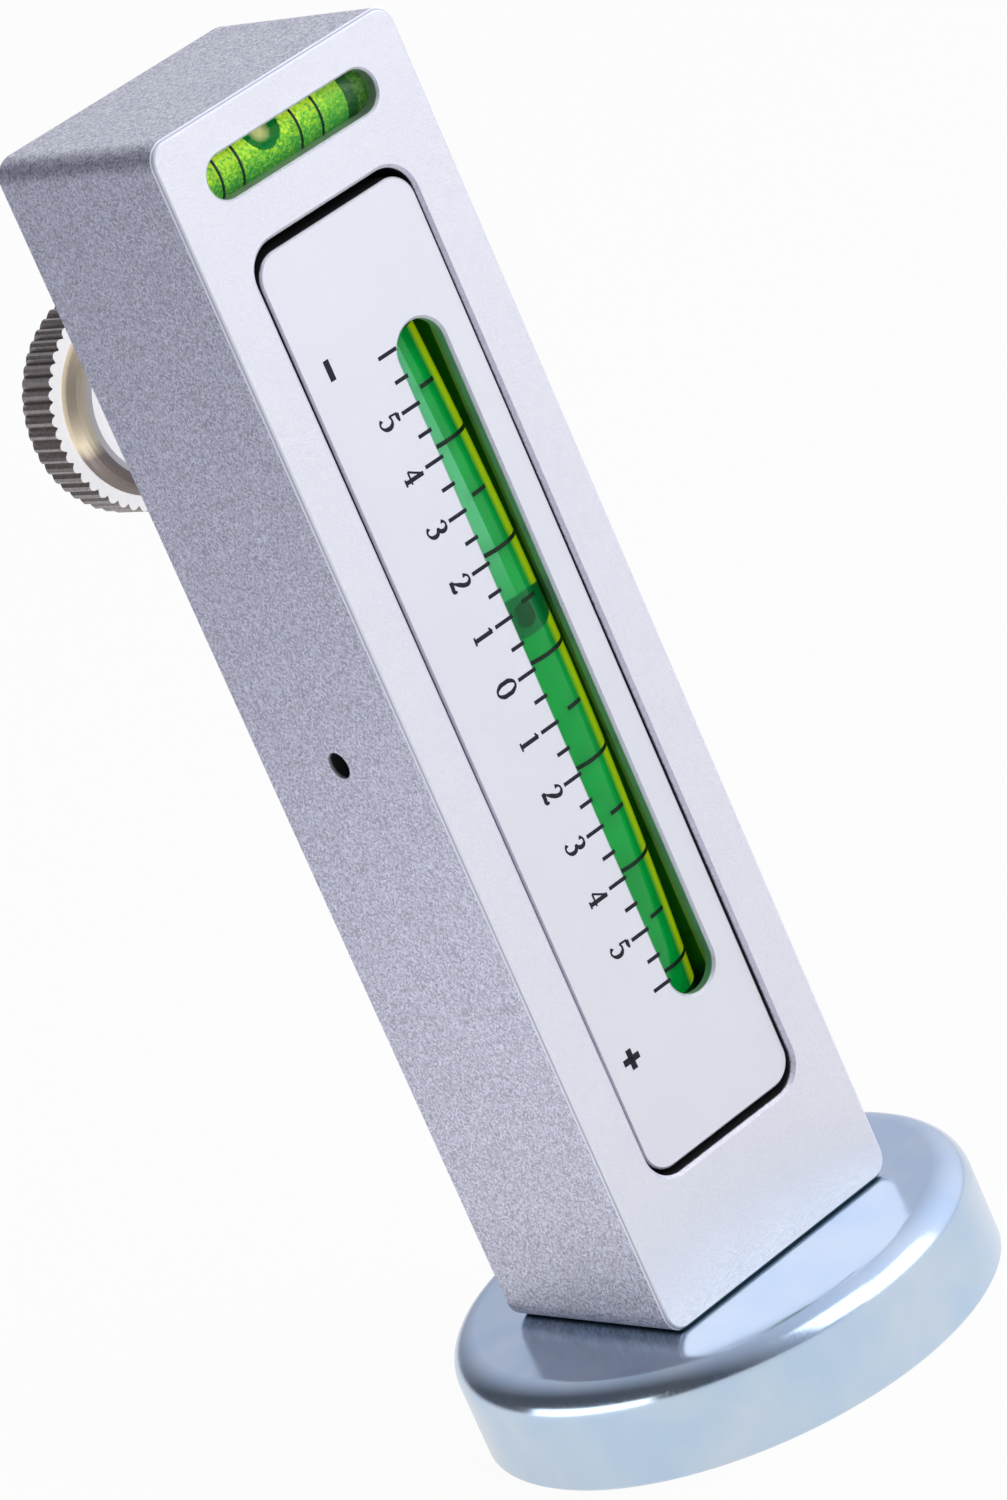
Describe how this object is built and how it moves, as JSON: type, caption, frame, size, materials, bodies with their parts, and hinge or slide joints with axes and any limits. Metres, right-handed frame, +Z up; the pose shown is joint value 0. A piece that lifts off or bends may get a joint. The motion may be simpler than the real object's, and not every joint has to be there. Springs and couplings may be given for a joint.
{
  "type": "camber caster gauge",
  "caption": "Upright aluminium block on a round magnetic foot, with a cross level, a bent camber vial in a tilting carrier and a knurled adjusting knob at the back.",
  "frame": {"origin": "centre of the magnetic foot's flat underside", "axes": "+Z up along the block, from the magnetic foot to the cross level; -Y out of the front face that carries the scale, +Y towards the adjusting knob; +X to the right as the scale is read"},
  "size_m": [0.05, 0.0559, 0.126],
  "materials": {
    "blasted_aluminium": "bead blasted, clear anodised",
    "carrier_aluminium": "bead blasted, fine",
    "turned_aluminium": "machined",
    "ground_steel": "ground",
    "spring_steel": "drawn wire",
    "black_steel": "blackened",
    "pole_steel": "ground flat, zinc plated",
    "zinc_plate": "bright zinc plated steel",
    "nickel_plate": "bright nickel plated steel",
    "ferrite": "ground, dull",
    "potting_resin": "cast",
    "vial_tube": "clear",
    "green_spirit": "clear liquid",
    "green_stopper": "moulded",
    "moulded_bed": "moulded",
    "pad_nylon": "turned"
  },
  "bodies": {
    "housing": {"body_block": "blasted_aluminium", "pivot_pin": "ground_steel", "return_spring": "spring_steel", "level_vial_tube": "vial_tube", "level_vial_fluid": "green_spirit", "level_vial_stopper_left": "green_stopper", "level_vial_stopper_right": "green_stopper", "level_bore_plug": "turned_aluminium", "magnet_cup": "zinc_plate", "ring_magnet": "ferrite", "magnet_potting": "potting_resin", "pole_core": "pole_steel", "base_stud": "black_steel"},
    "carrier": {"vial_carrier": "carrier_aluminium", "camber_vial_tube": "vial_tube", "camber_vial_fluid": "green_spirit", "camber_vial_stopper_upper": "green_stopper", "camber_vial_stopper_lower": "green_stopper", "vial_bed": "moulded_bed", "carrier_cover": "turned_aluminium", "cover_screws": "black_steel"},
    "thrust": {"thrust_pad": "pad_nylon"},
    "knob": {"adjust_screw": "ground_steel", "adjust_knob": "nickel_plate"}
  },
  "joints": [
    {"name": "knob_feed", "type": "slide", "parent": "housing", "child": "thrust", "axis": [0, -1, 0], "range_m": [-0.001, 0.001]},
    {"name": "knob_turn", "type": "hinge", "parent": "thrust", "child": "knob", "pos_m": [0, 0, 0.0972], "axis": [0, -1, 0], "range_deg": [-451, 451]},
    {"name": "carrier_tilt", "type": "hinge", "parent": "housing", "child": "carrier", "pos_m": [0, 0, 0.0675], "axis": [1, 0, 0], "range_deg": [-2, 2], "deforming": ["return_spring"]}
  ],
  "couplings": [
    {"joint": "knob_turn", "follows": "knob_feed", "rad_per_m": 7854},
    {"joint": "carrier_tilt", "follows": "knob_feed", "rad_per_m": 33.67}
  ]
}
